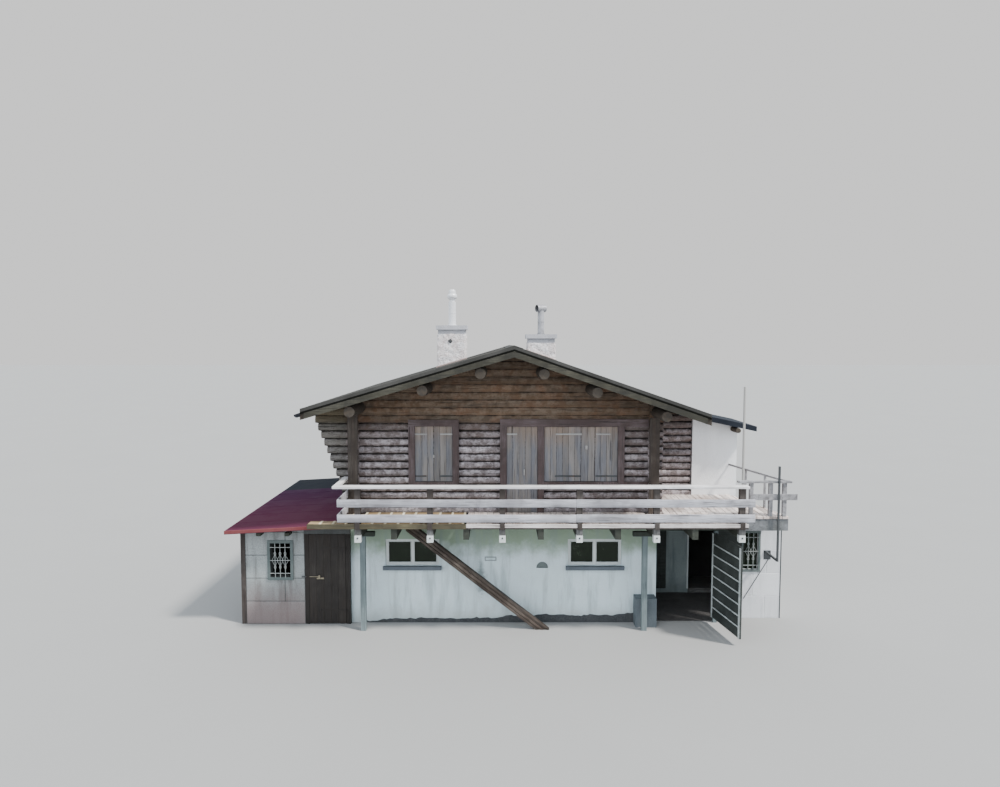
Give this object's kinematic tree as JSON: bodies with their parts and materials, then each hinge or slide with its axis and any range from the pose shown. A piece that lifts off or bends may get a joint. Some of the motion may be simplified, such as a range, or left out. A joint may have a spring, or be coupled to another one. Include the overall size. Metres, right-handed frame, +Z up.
{
  "type": "alpine chalet",
  "caption": "Small alpine chalet: rendered ground storey, round log storey under a low gable roof, timber balcony, lean-to stores, hinged store door and porch gate.",
  "frame": {"origin": "on the ground under the middle of the main block's ground floor", "axes": "+Z up, +X to the right seen from the front, the front faces -Y"},
  "size_m": [12.37, 9.1361, 7.598],
  "materials": {
    "floor_concrete": "rough concrete",
    "render": "stained pale render",
    "white_frame": "white painted frames",
    "glass": "dark window glass",
    "sill": "grey sills",
    "porch_render": "grey render",
    "white_plaster": "white plaster",
    "floor_wood": "boarded floor",
    "logs": "weathered round logs",
    "corner_wood": "dark brown boards",
    "casing": "red-brown casings",
    "grey_boards": "weathered grey boards",
    "purlin_wood": "round purlins",
    "roof_boards": "roof boarding",
    "roof_sheet": "grey sheet",
    "blue_sheet": "slate blue sheet",
    "barge_wood": "olive brown boards",
    "stack_masonry": "rough rubble masonry",
    "flue_metal": "dull steel",
    "joist_wood": "grey joists",
    "rail_wood": "silvery railing boards",
    "edge_wood": "yellow-brown and pale edge boards",
    "post_paint": "grey-green posts",
    "block_wall": "painted blocks",
    "white_blocks": "white painted blocks",
    "steel": "dark steel",
    "maroon_sheet": "maroon sheet",
    "dark_sheet": "dark slate sheet",
    "door_wood": "dark brown planks",
    "gate_wood": "dark lapped boards",
    "lean_wood": "brown boards",
    "plinth": "grey block"
  },
  "bodies": {
    "house": {"ground_floors": "floor_concrete", "front_ground_wall": "render", "rear_ground_wall": "render", "side_ground_walls": "render", "ground_window_frames": "white_frame", "ground_window_glass": "glass", "ground_window_sills": "sill", "porch_back_wall": "porch_render", "extension_side_wall": "white_plaster", "extension_rear_wall": "white_plaster", "upper_floor": "floor_wood", "front_log_wall": "logs", "rear_log_wall": "logs", "side_log_walls": "logs", "corner_boards": "corner_wood", "recess_log_wall": "logs", "recess_plaster_wall": "white_plaster", "upper_window_frames": "casing", "window_shutters": "grey_boards", "balcony_door": "grey_boards", "purlins": "purlin_wood", "roof_boards_left": "roof_boards", "roof_boards_right": "roof_boards", "roof_sheets": "roof_sheet", "extension_roof": "blue_sheet", "bargeboards": "barge_wood", "chimney_stacks": "stack_masonry", "flue_pipes": "flue_metal", "balcony_joists": "joist_wood", "balcony_deck": "rail_wood", "deck_edge_boards": "edge_wood", "railing_posts": "corner_wood", "railing_boards": "rail_wood", "support_posts": "post_paint", "terrace_railing": "rail_wood", "store_front_wall": "white_blocks", "store_side_walls": "white_blocks", "steel_posts": "steel", "annex_front_wall": "block_wall", "annex_left_wall": "block_wall", "annex_rear_wall": "block_wall", "annex_roof": "maroon_sheet", "annex_rear_roof": "dark_sheet", "annex_door_frame": "door_wood", "barred_windows": "white_frame", "gate_frame": "post_paint", "porch_panel": "gate_wood", "leaning_timbers": "lean_wood", "corner_plinth": "plinth"},
    "door_leaf": {"annex_door": "door_wood"},
    "gate_leaf": {"porch_gate": "gate_wood"}
  },
  "joints": [
    {"name": "store_door", "type": "hinge", "parent": "house", "child": "door_leaf", "pos_m": [-3.5, -3.615, 1], "axis": [0, 0, 1], "range_deg": [0, 100]},
    {"name": "porch_gate_hinge", "type": "hinge", "parent": "house", "child": "gate_leaf", "pos_m": [4.68, -3.545, 1], "axis": [0, 0, 1], "range_deg": [-100, 35]}
  ]
}
